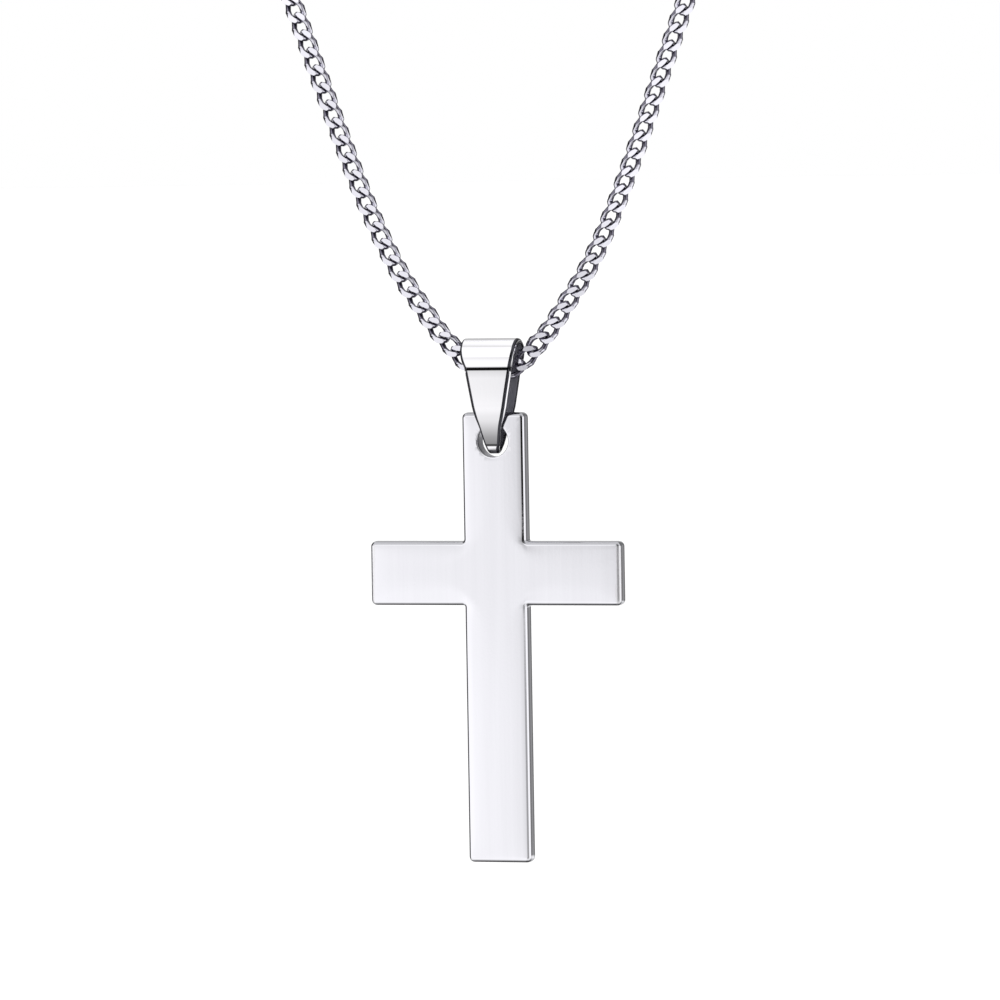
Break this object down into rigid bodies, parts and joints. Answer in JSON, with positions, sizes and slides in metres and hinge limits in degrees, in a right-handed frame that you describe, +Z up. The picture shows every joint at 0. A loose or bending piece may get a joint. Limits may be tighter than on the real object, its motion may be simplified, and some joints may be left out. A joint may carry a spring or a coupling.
{
  "type": "cross pendant on a curb chain",
  "caption": "Plain polished Latin cross that swings in a folded tapering bail on a closed loop of fine curb chain, worn round the neck.",
  "frame": {"origin": "middle of the clasp, at the nape, where the chain rests on the back of the neck", "axes": "+Z up as it is worn, -Y towards the front, where the cross hangs, +X to the right as seen from the front"},
  "size_m": [0.1186, 0.1157, 0.2025],
  "materials": {
    "chain_steel": "polished",
    "clasp_steel": "polished",
    "bail_steel": "polished",
    "cross_steel": "polished, with faint upright brushing"
  },
  "bodies": {
    "chain": {"chain_front": "chain_steel", "chain_back": "chain_steel", "clasp": "clasp_steel"},
    "bail": {"bail": "bail_steel"},
    "cross": {"cross": "cross_steel"}
  },
  "joints": [
    {"name": "bail_swing", "type": "hinge", "parent": "chain", "child": "bail", "pos_m": [0, -0.112, -0.14545], "axis": [1, 0, 0], "range_deg": [-18, 18]},
    {"name": "cross_swing", "type": "hinge", "parent": "bail", "child": "cross", "pos_m": [0, -0.112, -0.15193], "axis": [1, 0, 0], "range_deg": [-25, 25]}
  ]
}
